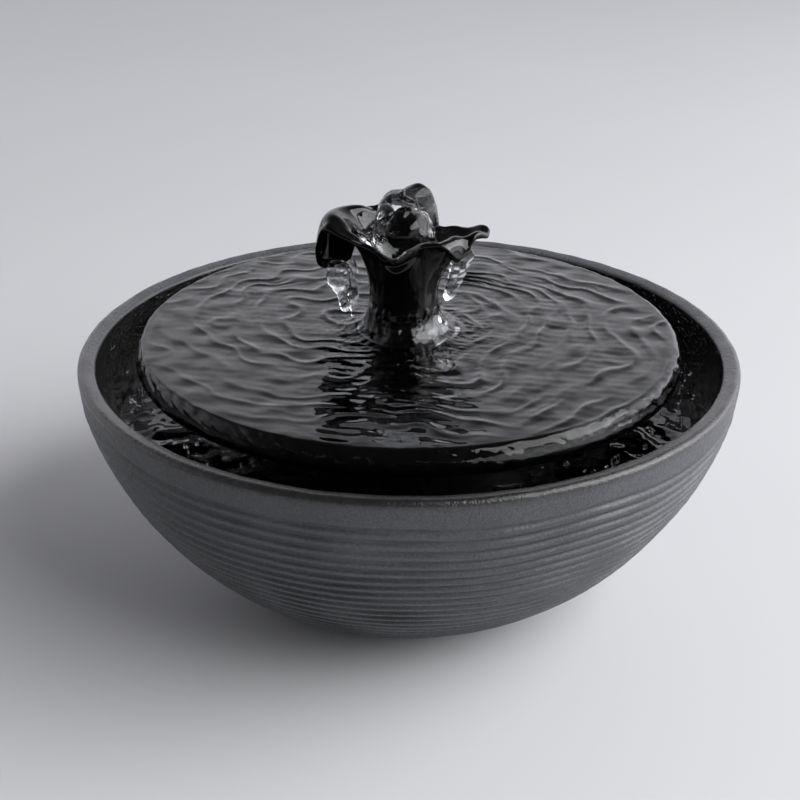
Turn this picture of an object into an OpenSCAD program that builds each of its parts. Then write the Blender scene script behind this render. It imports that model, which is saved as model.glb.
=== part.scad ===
// Tabletop water fountain: a stoneware bowl, a round plate on an arched stand,
// a flower-shaped spout and a small submersible pump fed from a socket in the wall.
// The origin is on the table under the bowl's centre, and +Y is the back.

/* [Bowl] */
// Outer diameter of the rim
rim_d = 260; // [258:1:266]
// Height of the rim above the table
rim_h = 102; // [100:0.5:106]
// Wall thickness at the rim
rim_wall = 6.8; // [6:0.2:7.6]
// Outer diameter of the foot ring
foot_d = 96; // [92:1:100]
// Straightness of the bowl's curve, where 1 is an ellipse
bowl_power = 1.24; // [1.2:0.01:1.28]
// Height of the silicone pads under the foot
pad_h = 2; // [1.5:0.1:2.5]

/* [Plate] */
// Diameter of the plate
plate_d = 213; // [206:1:218]
// Thickness of the plate
plate_t = 10; // [9:0.5:11]
// Height of the plate's top above the rim
plate_rise = 5; // [4:0.5:8]

/* [Stand] */
// Outer diameter of the ring that carries the plate
stand_d = 116; // [114:1:118]
// Wall thickness of the ring
stand_wall = 5; // [4.5:0.5:5.5]
// Width of each arch
arch_w = 30; // [24:1:34]
// Height of each arch
arch_h = 26; // [22:1:30]

/* [Spout] */
// Diameter of the trunk
trunk_d = 27.2; // [26:0.2:29]
// Diameter of the trunk's flared base
base_d = 38; // [36:0.5:38.6]
// Sideways lean of the hand-shaped trunk
trunk_lean = -2; // [-2.5:0.1:0]
// Thickness of a petal at its edge
petal_t = 2.2; // [1.8:0.1:2.6]

/* [Pump] */
// Width of the motor housing
pump_w = 42; // [41:0.5:44]
// Outer radius of the impeller
impeller_r = 9; // [8:0.1:9.6]
// Radius of the fixed shaft
shaft_r = 1.5; // [1.4:0.05:1.6]
// Radial gap between the impeller and its shaft
shaft_gap = 0.04; // [0.02:0.01:0.08]
// Outer radius of the silicone riser
tube_r = 6; // [5.8:0.1:6]

/* [Supply] */
// Height of the supply socket above the table
inlet_z = 85; // [84:0.5:86]
// Radius of the socket's contact pin
pin_r = 1; // [0.9:0.05:1.2]
// Radius of the low-voltage lead
lead_r = 1.75; // [1.5:0.05:1.9]

/* [Hidden] */
$fn = 96;

// Bowl
rim_r = rim_d / 2;
foot_r = foot_d / 2;
inner_power = bowl_power + 0.08;
foot_ring_w = 8;
foot_recess = 3;
floor_t = 7;
floor_z = pad_h + foot_recess + floor_t;
floor_r = 60;
lip_r = 2.4;
inner_lip_r = 1.2;
arc_steps = 22;
pad_r = 3.7;

// Plate and what it stands on
plate_r = plate_d / 2;
plate_top = rim_h + plate_rise;
plate_low = plate_top - plate_t;
plate_hole_r = 9;
plate_edge_w = 9;
groove_depth = 2;
groove_play = 2.5;
seat_depth = 1.5;
seat_r = 19.6;
stand_r = stand_d / 2;
stand_in_r = stand_r - stand_wall;
bumper_r = 2.1;
bumper_h = 2.8;
bumper_top = plate_low + groove_depth;
stand_top = bumper_top - 1.8;

// Spout: each petal row holds its angle, then the radius and height of three
// points that its underside passes through, the last of which is its edge
trunk_r = trunk_d / 2;
gasket_t = 0.8;
spout_z = plate_top - seat_depth + gasket_t;
neck_h = 18;
flare_h = 9;
throat_r = 4;
socket_r = tube_r + 0.2;
stub_r = 8.6;
stub_low = plate_low + 2;
root_t = 6.2;
petals = [[0, 18, 29, 25.5, 37.5, 31.5, 40], [8, 18, 29, 26, 37, 32.5, 40.5],
          [18, 17, 29.5, 22, 36.5, 27.5, 39.5], [34, 15.5, 30, 17.5, 34.5, 20, 38],
          [62, 15, 31, 16, 36, 17.5, 40], [92, 15, 32, 15.5, 39, 16.5, 43],
          [122, 16, 34, 17.5, 43, 19, 46.5], [140, 17, 35, 20.5, 46, 23, 43],
          [150, 17.5, 35, 22.5, 46.5, 23.5, 29], [159, 18, 35, 25.5, 46.5, 27.5, 25.5],
          [168, 18, 35, 27.5, 46.5, 31, 25], [177, 18, 35, 28, 46.5, 32.5, 30.5],
          [185, 17.5, 34.5, 27, 46, 31.5, 40], [194, 17, 33.5, 24.5, 43.5, 29, 43.5],
          [205, 16.5, 32, 20, 40, 23.5, 41.5], [216, 15.5, 31, 17, 36.5, 18.5, 39],
          [232, 14.5, 30, 15, 34, 15.8, 36.5], [256, 14, 28, 14.3, 31.5, 15.3, 34.5],
          [276, 14.2, 29, 14.8, 33.5, 16, 37.5], [297, 15, 31, 16.2, 37.5, 17.3, 41.5],
          [316, 15.5, 31, 18.5, 39.5, 20, 39.5], [330, 16, 30, 20, 40, 21.8, 35.2],
          [341, 16.5, 30, 21.5, 40.5, 24.5, 39], [351, 17.5, 29.5, 24.5, 39, 29, 41]];
ring_points = 72;
petal_rings = 14;
flare_rings = 6;

// Pump, whose rotor lies along Y at rotor_z
rotor_z = floor_z + 20;
pump_low = floor_z + 4.5;
pump_high = pump_low + 37;
pump_wall = 2;
front_y = 5;
back_y = 36;
cover_t = 2.5;
cover_y = back_y + cover_t;
well_r = 6.8;
well_wall = 1.2;
well_end = 31;
magnet_r = 6.2;
sleeve_r = 2.6;
bush_r = 2.4;
core_w = 35;
core_y = 12;
core_d = 14;
core_low = rotor_z - 11;
core_high = rotor_z + 17;
yoke_h = 6;
window_w = 13;
coil_w = 12;
coil_wall = 2;
chamber_r = 10.5;
chamber_wall = 2;
chamber_y = -7;
flange_w = 36;
flange_low = rotor_z - 14.5;
flange_high = rotor_z + 14.5;
seal_r = 12.6;
seal_t = 0.9;
nozzle_r = 4.2;
nozzle_bore = 3;
nozzle_top = rotor_z + 32;
eye_r = 6;
spider_r = 3.3;
boss_x = 16.4;
boss_r = 2.6;
screw_r = 0.9;
cup_r = 6;
cup_x = 14;
cup_ys = [11, 30];
stem_r = 1.6;
tube_low = pump_high + 0.5;
tube_top = plate_top + 10;
vanes = 6;

// Grille over the intake
grille_play = 0.1;
grille_wall = 1.6;
grille_y = -20;
grille_end = front_y - 0.1;
slot_w = 1.8;
dial_r = 8;
dial_pin_r = 2.2;
dial_gap = 0.05;
port_r = 1.8;
port_at = 5.2;

// Supply socket, whose axis lies along Y at inlet_z
seat_out_y = rim_r - 4.2;
seat_in_y = rim_r - rim_wall - 1.2;
thread_r = 5.5;
socket_flange_r = 7.5;
socket_flange_t = 2;
socket_end = rim_r - 22;
cavity_r = 2.9;
cavity_end = rim_r - 13;
pin_tail_r = 0.7;
gasket_r = 8;
nut_r = 8.1;
nut_t = 3.5;
boot_end = socket_end - 6.5;
gland_z = rotor_z - 6;
gland_end = 44.5;
// Route of the lead from the gland to the boot, as points [y, z]
lead_route = [[gland_end, gland_z], [50, 26], [58, 25.5], [66, 24.5], [74, 25],
              [82, 29], [89, 36], [94, 44], [96.5, 53], [96, 62], [94, 69],
              [92.5, 75], [93.2, 80.5], [96, 84], [99, 85], [boot_end, inlet_z]];
lead_sides = 8;

// Cylinder of radius r along Y, from y0 to y1, at [x, z]
module rod(y0, y1, r, z, x = 0) {
    translate([x, y0, z]) rotate([-90, 0, 0]) cylinder(r = r, h = y1 - y0);
}

// Box centred on x = 0 with its four edges along Y rounded
module y_box(w, y0, y1, z0, z1, r) {
    translate([-w / 2 + r, y0, z0]) cube([w - 2 * r, y1 - y0, z1 - z0]);
    translate([-w / 2, y0, z0 + r]) cube([w, y1 - y0, z1 - z0 - 2 * r]);
    for (x = [-w / 2 + r, w / 2 - r], z = [z0 + r, z1 - r]) rod(y0, y1, r, z, x);
}

// Ring on the vertical axis from z0 to z1
module ring(r_out, r_in, z0, z1) {
    translate([0, 0, z0]) difference() {
        cylinder(r = r_out, h = z1 - z0);
        translate([0, 0, -1]) cylinder(r = r_in, h = z1 - z0 + 2);
    }
}

// Quarter of the bowl's curve, from radius r1 at height z1 down to r0 at z0
function bowl_arc(r0, z0, r1, z1, power) = [for (i = [0:arc_steps])
    let (a = 90 * i / arc_steps)
    [r0 + (r1 - r0) * pow(cos(a), power), z1 - (z1 - z0) * pow(sin(a), power)]];

// Points along an ellipse's arc about [x, z]
function bend(x, z, rx, rz, from, to, steps) = [for (i = [0:steps])
    let (a = from + (to - from) * i / steps) [x + rx * cos(a), z + rz * sin(a)]];

function reversed(list) = [for (i = [len(list) - 1:-1:0]) list[i]];

module bowl() {
    inner_r = rim_r - rim_wall;
    outline = concat(
        [[0, floor_z]],
        reversed(bowl_arc(floor_r, floor_z, inner_r, rim_h - inner_lip_r, inner_power)),
        bend(inner_r + inner_lip_r, rim_h - inner_lip_r, inner_lip_r, inner_lip_r, 150, 90, 2),
        bend(rim_r - lip_r, rim_h - lip_r, lip_r, lip_r, 90, 20, 4),
        bowl_arc(foot_r, pad_h, rim_r, rim_h - lip_r, bowl_power),
        [[foot_r - foot_ring_w, pad_h], [foot_r - foot_ring_w - 1, pad_h + foot_recess],
         [0, pad_h + foot_recess]]);
    color("#3b3f43") difference() {
        rotate_extrude() polygon(outline);
        rod(seat_in_y - 12, rim_r + 2, thread_r + 0.3, inlet_z);
        rod(seat_out_y, rim_r + 2, socket_flange_r + 0.7, inlet_z);
        rod(seat_in_y - 12, seat_in_y, gasket_r + 1.2, inlet_z);
    }
}

module foot_pads() {
    color("#1b1b1c") for (a = [45:90:315])
        rotate(a) translate([foot_r - foot_ring_w / 2, 0, 0]) cylinder(r = pad_r, h = pad_h);
}

module plate_stand() {
    color("#26282a") difference() {
        ring(stand_r, stand_in_r, floor_z, stand_top);
        for (a = [0:90:270]) rotate(a) {
            translate([stand_in_r - 3, -arch_w / 2, floor_z - 1])
                cube([stand_wall + 6, arch_w, arch_h - arch_w / 2 + 1]);
            translate([stand_in_r - 3, 0, floor_z + arch_h - arch_w / 2])
                rotate([0, 90, 0]) cylinder(r = arch_w / 2, h = stand_wall + 6);
        }
        for (a = [45:90:315]) rotate(a)
            translate([stand_r - stand_wall / 2, 0, bumper_top - bumper_h])
                cylinder(r = bumper_r, h = bumper_h);
    }
}

module stand_bumpers() {
    color("#8d8f90") for (a = [45:90:315])
        rotate(a) translate([stand_r - stand_wall / 2, 0, bumper_top - bumper_h])
            cylinder(r = bumper_r, h = bumper_h);
}

module plate() {
    low_edge = 3;
    top_edge = plate_t - low_edge;
    outline = concat(
        [[0, plate_low], [plate_r - 2 * low_edge, plate_low]],
        bend(plate_r - low_edge, plate_low + low_edge, low_edge, low_edge, -80, 0, 5),
        bend(plate_r - plate_edge_w, plate_top - top_edge, plate_edge_w, top_edge, 10, 90, 9),
        [[0, plate_top]]);
    color("#101113") difference() {
        rotate_extrude() polygon(outline);
        translate([0, 0, plate_low - 1]) cylinder(r = plate_hole_r, h = plate_t + 2);
        translate([0, 0, plate_top - seat_depth]) cylinder(r = seat_r, h = seat_depth + 1);
        ring(stand_r + groove_play, stand_in_r - groove_play, plate_low - 1, bumper_top);
    }
}

module spout_gasket() {
    color("#2a2a2b")
        ring(seat_r - 1, plate_hole_r + 1, plate_top - seat_depth, spout_z);
}

// Cubic from q0 to q1 with slopes m0 and m1, at t from 0 to 1
function cubic(q0, m0, q1, m1, t) =
    (1 + 2 * t) * pow(1 - t, 2) * q0 + t * pow(1 - t, 2) * m0
    + t * t * (3 - 2 * t) * q1 - t * t * (1 - t) * m1;

// Petal row at any angle, by a smooth curve through the rows
function petal_index(a, i = 0) =
    i == len(petals) - 1 || petals[i + 1][0] > a ? i : petal_index(a, i + 1);
function petal_at(a) = let (
    n = len(petals),
    i = petal_index(a),
    row = [for (k = [i - 1:i + 2]) petals[(k + n) % n]],
    turn = [for (k = [0:3]) row[k][0] + 360 * floor((i - 1 + k) / n)],
    step = turn[2] - turn[1])
    cubic(row[1], (row[2] - row[0]) * step / (turn[2] - turn[0]),
          row[2], (row[3] - row[1]) * step / (turn[3] - turn[1]), (a - turn[1]) / step);

// Slope of the curve through q at its inner point k, where gap holds the spacings
function slope(q, gap, k) =
    ((q[k + 1] - q[k]) * gap[k - 1] / gap[k] + (q[k] - q[k - 1]) * gap[k] / gap[k - 1])
    / (gap[k - 1] + gap[k]);

// Radius and height of the petal's underside at angle a, from its root at
// t = 0 to its edge at t = 1
function under(a, t) = let (
    p = petal_at(a),
    q = [[trunk_r, neck_h], [p[1], p[2]], [p[3], p[4]], [p[5], p[6]]],
    gap = [for (k = [0:2]) sqrt(norm(q[k + 1] - q[k]))],
    m2 = slope(q, gap, 2),
    m = [[0, gap[0]], slope(q, gap, 1), m2, 2 * (q[3] - q[2]) / gap[2] - m2],
    at = t * (gap[0] + gap[1] + gap[2]),
    k = at < gap[0] ? 0 : at < gap[0] + gap[1] ? 1 : 2,
    start = k == 0 ? 0 : k == 1 ? gap[0] : gap[0] + gap[1])
    cubic(q[k], m[k] * gap[k], q[k + 1], m[k + 1] * gap[k], (at - start) / gap[k]);

// The same point moved to the petal's upper side
function over(a, t) = let (
    d = under(a, min(1, t + 0.02)) - under(a, max(0, t - 0.02)),
    thick = petal_t + (root_t - petal_t) * pow(1 - t, 2))
    under(a, t) + thick / norm(d) * [-d[1], d[0]];

// Radius of the trunk at height h, flaring towards the plate
function flare(h) = trunk_r + (base_d / 2 - trunk_r) * pow(1 - min(h, flare_h) / flare_h, 2.4);
function lean(h) = trunk_lean * (1 - pow(1 - min(h, flare_h) / flare_h, 2));
function around(rz, a) = [rz[0] * cos(a) + lean(rz[1]), rz[0] * sin(a), rz[1]];

module spout_body() {
    angles = [for (i = [0:ring_points - 1]) 360 * i / ring_points];
    rings = concat(
        [for (i = [0:flare_rings]) let (h = flare_h * i / flare_rings)
            [for (a = angles) around([flare(h), h], a)]],
        [for (i = [0:petal_rings]) [for (a = angles) around(under(a, i / petal_rings), a)]],
        [for (i = [petal_rings:-1:0]) [for (a = angles) around(over(a, i / petal_rings), a)]]);
    n = ring_points;
    last = len(rings) - 1;
    points = concat([for (r = rings) each r],
                    [[0, 0, 0], [trunk_lean, 0, over(270, 0)[1]]]);
    low_mid = len(points) - 2;
    top_mid = len(points) - 1;
    faces = concat(
        [for (k = [0:last - 1], i = [0:n - 1]) let (j = (i + 1) % n)
            each [[k * n + i, (k + 1) * n + i, k * n + j],
                  [k * n + j, (k + 1) * n + i, (k + 1) * n + j]]],
        [for (i = [0:n - 1]) [i, (i + 1) % n, low_mid]],
        [for (i = [0:n - 1]) [last * n + i, top_mid, last * n + (i + 1) % n]]);
    polyhedron(points = points, faces = faces, convexity = 8);
}

module spout() {
    throat_h = 40;
    color("#0b0b0c") difference() {
        union() {
            translate([0, 0, spout_z]) spout_body();
            translate([0, 0, stub_low]) cylinder(r = stub_r, h = spout_z - stub_low + 3);
        }
        translate([0, 0, stub_low - 1]) cylinder(r = socket_r, h = tube_top + 2 - stub_low);
        translate([0, 0, spout_z]) cylinder(r = throat_r, h = throat_h);
    }
}

module outlet_tube() {
    color("#c9cdd0", 0.7) ring(tube_r, nozzle_r, tube_low, tube_top);
}

module pump_housing() {
    color("#1d1f21") difference() {
        union() {
            difference() {
                y_box(pump_w, front_y, back_y, pump_low, pump_high, 3);
                y_box(pump_w - 2 * pump_wall, front_y + 3, back_y + 1,
                      pump_low + pump_wall, pump_high - pump_wall, 2);
            }
            rod(front_y + 1, well_end, well_r + well_wall, rotor_z);
            for (x = [-boss_x, boss_x], z = [pump_low + 5, pump_high - 5])
                translate([x - boss_r, 29, z - boss_r])
                    cube([2 * boss_r, back_y - 29, 2 * boss_r]);
        }
        rod(front_y - 1, 26, well_r, rotor_z);
        rod(25, 29.5, bush_r, rotor_z);
        translate([0, front_y, rotor_z]) rotate([-90, 0, 0]) rotate_extrude()
            translate([seal_r - 1, -1]) square([2, 2.8]);
        for (x = [-boss_x, boss_x], z = [pump_low + 5, pump_high - 5])
            rod(30, back_y + 1, screw_r, z, x);
        for (x = [-cup_x, cup_x], y = cup_ys)
            translate([x, y, pump_low - 1]) cylinder(r = stem_r, h = 2.4);
    }
}

module pump_rear_cover() {
    color("#232527") difference() {
        y_box(pump_w, back_y, cover_y, pump_low, pump_high, 3);
        rod(back_y - 1, cover_y + 1, 3, gland_z);
        for (x = [-boss_x, boss_x], z = [pump_low + 5, pump_high - 5])
            rod(back_y - 1, cover_y + 1, screw_r, z, x);
    }
}

module cover_screws() {
    color("#a9adb1") for (x = [-boss_x, boss_x], z = [pump_low + 5, pump_high - 5])
        difference() {
            union() {
                rod(30.5, cover_y + 0.5, screw_r, z, x);
                rod(cover_y, cover_y + 1.2, 1.9, z, x);
            }
            translate([x - 1.2, cover_y + 0.6, z - 0.25]) cube([2.4, 1, 0.5]);
            translate([x - 0.25, cover_y + 0.6, z - 1.2]) cube([0.5, 1, 2.4]);
        }
}

module drive_board() {
    board_y = well_end + 0.5;
    color("#1f5b3a") {
        translate([-13.2, board_y, rotor_z - 11]) cube([26.4, 1.2, 27]);
        translate([-9, board_y + 1.1, rotor_z + 4]) cube([7, 1.3, 6]);
        translate([3, board_y + 1.1, rotor_z + 5]) cube([4, 1, 3]);
        for (x = [-10:4:10]) translate([x, board_y + 1.1, rotor_z - 1]) cube([1.2, 0.8, 2]);
    }
}

module pump_core() {
    color("#6c7074") difference() {
        translate([-core_w / 2, core_y, core_low])
            cube([core_w, core_d, core_high - core_low]);
        translate([-window_w / 2, core_y - 1, core_low - 1])
            cube([window_w, core_d + 2, core_high - yoke_h - core_low + 1]);
        rod(core_y - 1, core_y + core_d + 1, well_r + well_wall + 0.2, rotor_z);
    }
}

module pump_coil() {
    color("#b3652c") difference() {
        y_box(coil_w, core_y - 2.5, core_y + core_d + 2.5,
              core_high - yoke_h - coil_wall, core_high + coil_wall, 1.5);
        translate([-coil_w, core_y, core_high - yoke_h])
            cube([2 * coil_w, core_d, yoke_h]);
    }
}

module shaft_bushes() {
    color("#2b2b2c") {
        difference() {
            rod(chamber_y - 2, chamber_y + 2, bush_r, rotor_z);
            rod(chamber_y - 1, chamber_y + 3, shaft_r, rotor_z);
        }
        difference() {
            rod(26, 29.5, bush_r, rotor_z);
            rod(25, 28.5, shaft_r, rotor_z);
        }
    }
}

module rotor_shaft() {
    color("#e4e2da") rod(chamber_y - 1, 28.5, shaft_r, rotor_z);
}

module pump_seal() {
    color("#7a2f22") translate([0, front_y + seal_t, rotor_z]) rotate([-90, 0, 0])
        rotate_extrude() translate([seal_r, 0]) circle(r = seal_t);
}

module volute_cover() {
    color("#222426") difference() {
        union() {
            rod(chamber_y, front_y, chamber_r + chamber_wall, rotor_z);
            y_box(flange_w, front_y - 2, front_y, flange_low, flange_high, 3);
            translate([0, 0, rotor_z + chamber_r])
                cylinder(r = nozzle_r, h = nozzle_top - rotor_z - chamber_r);
            rod(chamber_y - 2, chamber_y + 2, spider_r, rotor_z);
        }
        rod(chamber_y + 2, front_y + 1, chamber_r, rotor_z);
        difference() {
            rod(chamber_y - 1, chamber_y + 3, eye_r, rotor_z);
            rod(chamber_y - 3, chamber_y + 2, spider_r, rotor_z);
            for (a = [90:120:330]) translate([0, chamber_y, rotor_z]) rotate([0, a, 0])
                translate([0, 0, -0.7]) cube([eye_r + 1, 2, 1.4]);
        }
        rod(chamber_y - 3, chamber_y + 3, bush_r, rotor_z);
        translate([0, 0, rotor_z + chamber_r - 1])
            cylinder(r = nozzle_bore, h = nozzle_top - rotor_z);
    }
}

module suction_cups() {
    outline = [[0, pump_low], [2.6, pump_low], [2.9, floor_z + 3], [4.4, floor_z + 1.6],
               [cup_r, floor_z + 0.5], [cup_r, floor_z], [4.8, floor_z],
               [3, floor_z + 1], [0, floor_z + 1.3]];
    color("#cfd3d6", 0.8) for (x = [-cup_x, cup_x], y = cup_ys) translate([x, y, 0]) {
        rotate_extrude() polygon(outline);
        translate([0, 0, pump_low - 0.5]) cylinder(r = stem_r, h = 1.9);
    }
}

module rotor_magnet() {
    color("#4a4d50") difference() {
        rod(7.5, 24.5, magnet_r, rotor_z);
        rod(7, 25, sleeve_r, rotor_z);
    }
}

module impeller() {
    half = 4.2;
    shroud = 1.2;
    color("#e9e9e4") difference() {
        union() {
            rod(-half, half, 3.4, rotor_z);
            rod(half - shroud, half, impeller_r, rotor_z);
            rod(half - shroud, 25, sleeve_r, rotor_z);
            for (i = [0:vanes - 1]) translate([0, -half, rotor_z])
                rotate([0, 360 * i / vanes, 0]) translate([2.6, 0, -0.6])
                    cube([impeller_r - 2.8, 2 * half - shroud + 0.5, 1.2]);
        }
        rod(-half - 1, 26, shaft_r + shaft_gap, rotor_z);
    }
}

module intake_grille() {
    in_w = flange_w + 2 * grille_play;
    in_low = flange_low - grille_play;
    in_high = flange_high + grille_play;
    out_w = in_w + 2 * grille_wall;
    color("#27292b") difference() {
        y_box(out_w, grille_y, grille_end, in_low - grille_wall, in_high + grille_wall, 4);
        y_box(in_w, grille_y + grille_wall, grille_end + 1, in_low, in_high, 3);
        translate([-nozzle_r - 0.6, -nozzle_r - 0.6, in_high - 1])
            cube([2 * nozzle_r + 1.2, grille_end + nozzle_r + 1.6, grille_wall + 2]);
        rod(grille_y - 1, grille_y + 3, dial_pin_r + dial_gap, rotor_z);
        for (a = [45, 225]) rod(grille_y - 1, grille_y + 3, port_r,
                                rotor_z + port_at * sin(a), port_at * cos(a));
        for (x = [-15.5:3.4:-8.7], side = [-1, 1])
            translate([side * x - slot_w / 2, grille_y - 1, rotor_z - 10])
                cube([slot_w, 3, 20]);
        for (y = [-16:3.6:-8], side = [-1, 1])
            translate([side * out_w / 2 - 2, y, rotor_z - 10])
                cube([4, slot_w, 20]);
    }
}

module filter_sponge() {
    color("#3a3d40") y_box(flange_w - 0.6, grille_y + 2.8, chamber_y - 2.5,
                           flange_low + 0.3, flange_high - 0.3, 3);
}

module flow_dial() {
    face_y = grille_y - 0.1;
    color("#d9dadb") difference() {
        union() {
            rod(face_y - 2, face_y, dial_r, rotor_z);
            rod(face_y - 1, grille_y + grille_wall + 0.2, dial_pin_r, rotor_z);
            rod(grille_y + grille_wall + 0.1, grille_y + grille_wall + 0.9, 3, rotor_z);
            translate([-1.2, face_y - 4.5, rotor_z - 6.5]) cube([2.4, 3, 13]);
        }
        for (a = [45, 225]) rod(face_y - 3, face_y + 0.05, port_r,
                                rotor_z + port_at * sin(a), port_at * cos(a));
    }
}

module inlet_socket() {
    color("#141415") difference() {
        union() {
            rod(socket_end, seat_out_y, thread_r, inlet_z);
            rod(seat_out_y, seat_out_y + socket_flange_t, socket_flange_r, inlet_z);
        }
        rod(cavity_end, rim_r, cavity_r, inlet_z);
        rod(cavity_end - 5, rim_r, pin_tail_r, inlet_z);
    }
}

module inlet_pin() {
    color("#c9b06a") {
        rod(cavity_end - 5, cavity_end, pin_tail_r, inlet_z);
        rod(cavity_end, seat_out_y + socket_flange_t - 1, pin_r, inlet_z);
    }
}

module inlet_gasket() {
    color("#3a3a3c") difference() {
        rod(seat_in_y - 1.4, seat_in_y, gasket_r, inlet_z);
        rod(seat_in_y - 3, seat_in_y + 1, thread_r, inlet_z);
    }
}

module inlet_nut() {
    nut_y = seat_in_y - 1.4 - nut_t;
    color("#b9bdc0") difference() {
        translate([0, nut_y, inlet_z]) rotate([-90, 0, 0])
            cylinder(r = nut_r, h = nut_t, $fn = 6);
        rod(nut_y - 1, nut_y + nut_t + 1, thread_r, inlet_z);
    }
}

module socket_boot() {
    wall = 1;
    outline = [[0, 0], [2.6, 0], [3.4, 3], [thread_r + wall, socket_end - boot_end - 1],
               [thread_r + wall, socket_end - boot_end + 4],
               [thread_r, socket_end - boot_end + 4], [thread_r, socket_end - boot_end],
               [0, socket_end - boot_end]];
    color("#1c1c1d") translate([0, boot_end, inlet_z]) rotate([-90, 0, 0])
        rotate_extrude() polygon(outline);
}

module lead_gland() {
    head_r = 4.6;
    outline = [[0, 0], [3, 0], [3, cover_y - back_y + 1], [head_r, cover_y - back_y + 1],
               [head_r, cover_y - back_y + 2.4], [3.3, cover_y - back_y + 3],
               [2.5, gland_end - back_y + 1], [0, gland_end - back_y + 1]];
    color("#1c1c1d") translate([0, back_y - 1, gland_z]) rotate([-90, 0, 0])
        rotate_extrude() polygon(outline);
}

module pump_lead() {
    n = lead_sides;
    last = len(lead_route) - 1;
    along = [for (i = [0:last])
        i == 0 || i == last ? [1, 0]
        : (lead_route[i + 1] - lead_route[i - 1]) / norm(lead_route[i + 1] - lead_route[i - 1])];
    points = [for (i = [0:last], k = [0:n - 1])
        let (a = 360 * k / n, c = lead_route[i], t = along[i])
        [lead_r * cos(a), c[0] - lead_r * sin(a) * t[1], c[1] + lead_r * sin(a) * t[0]]];
    faces = concat(
        [for (i = [0:last - 1], k = [0:n - 1]) let (j = (k + 1) % n)
            [i * n + k, i * n + j, (i + 1) * n + j, (i + 1) * n + k]],
        [[for (k = [n - 1:-1:0]) k]],
        [[for (k = [0:n - 1]) last * n + k]]);
    color("#18181a") polyhedron(points = points, faces = faces, convexity = 4);
}

bowl();
foot_pads();
plate_stand();
stand_bumpers();
plate();
spout();
spout_gasket();
outlet_tube();
pump_housing();
pump_rear_cover();
cover_screws();
drive_board();
pump_core();
pump_coil();
shaft_bushes();
rotor_shaft();
pump_seal();
volute_cover();
suction_cups();
rotor_magnet();
impeller();
intake_grille();
filter_sponge();
flow_dial();
inlet_socket();
inlet_pin();
inlet_gasket();
inlet_nut();
socket_boot();
lead_gland();
pump_lead();
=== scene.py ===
import math

import bmesh
import bpy
import numpy as np
from mathutils import Matrix, Vector


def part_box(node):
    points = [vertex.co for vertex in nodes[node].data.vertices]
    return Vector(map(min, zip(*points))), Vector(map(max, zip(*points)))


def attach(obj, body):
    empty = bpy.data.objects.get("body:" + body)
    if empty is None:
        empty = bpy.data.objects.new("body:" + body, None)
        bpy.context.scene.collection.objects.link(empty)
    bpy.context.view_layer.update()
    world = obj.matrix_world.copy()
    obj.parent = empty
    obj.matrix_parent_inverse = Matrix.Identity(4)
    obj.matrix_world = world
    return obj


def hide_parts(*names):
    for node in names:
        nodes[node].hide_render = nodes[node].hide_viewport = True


MM = 0.001
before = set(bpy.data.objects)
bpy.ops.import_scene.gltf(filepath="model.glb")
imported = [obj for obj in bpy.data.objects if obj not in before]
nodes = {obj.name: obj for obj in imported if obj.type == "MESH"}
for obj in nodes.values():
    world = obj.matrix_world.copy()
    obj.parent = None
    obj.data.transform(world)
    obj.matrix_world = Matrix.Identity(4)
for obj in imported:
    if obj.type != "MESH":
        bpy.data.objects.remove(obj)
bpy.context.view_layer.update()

# Heights and radii that the pieces share, nearly all from the frame
_, BOWL_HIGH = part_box("bowl")
PLATE_LOW, PLATE_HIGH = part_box("plate")
STAND_LOW, STAND_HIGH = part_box("plate_stand")
_, TUBE_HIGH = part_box("outlet_tube")
PADS_LOW, PADS_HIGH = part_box("foot_pads")
RIM_R = BOWL_HIGH.x
RIM_Z = BOWL_HIGH.z
PLATE_R = PLATE_HIGH.x
PLATE_Z = PLATE_HIGH.z
FLOOR_Z = STAND_LOW.z
FOOT_Z = PADS_HIGH.z
WALL = 6.8 * MM
WATER_Z = RIM_Z - 27 * MM


# ---------------------------------------------------------------- camera
def make_camera():
    """Camera over the front of the bowl, looking down at the rim's centre.

    Its place and its small turns were fitted to the rim, the plate and the foot.
    """
    distance, elevation = 579.2 * MM, math.radians(23.1)
    pitch, yaw, roll = -0.03987, -0.005807, 0.0066
    centre = Vector((0, 0, RIM_Z))
    back = Vector((0, -math.cos(elevation), math.sin(elevation)))
    forward, right = -back, Vector((1, 0, 0))
    up = right.cross(forward)
    turned = math.cos(yaw) * forward + math.sin(yaw) * right
    side = math.cos(yaw) * right - math.sin(yaw) * forward
    look = math.cos(pitch) * turned + math.sin(pitch) * up
    top = math.cos(pitch) * up - math.sin(pitch) * turned
    x_axis = math.cos(roll) * side + math.sin(roll) * top
    y_axis = math.cos(roll) * top - math.sin(roll) * side
    data = bpy.data.cameras.new("camera")
    data.sensor_width = 36
    data.lens = 65.2
    data.clip_start = 0.05
    camera = bpy.data.objects.new("camera", data)
    camera.matrix_world = Matrix.Translation(centre + distance * back) @ Matrix(
        (x_axis, y_axis, -look)).transposed().to_4x4()
    bpy.context.scene.collection.objects.link(camera)
    bpy.context.scene.camera = camera


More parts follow.
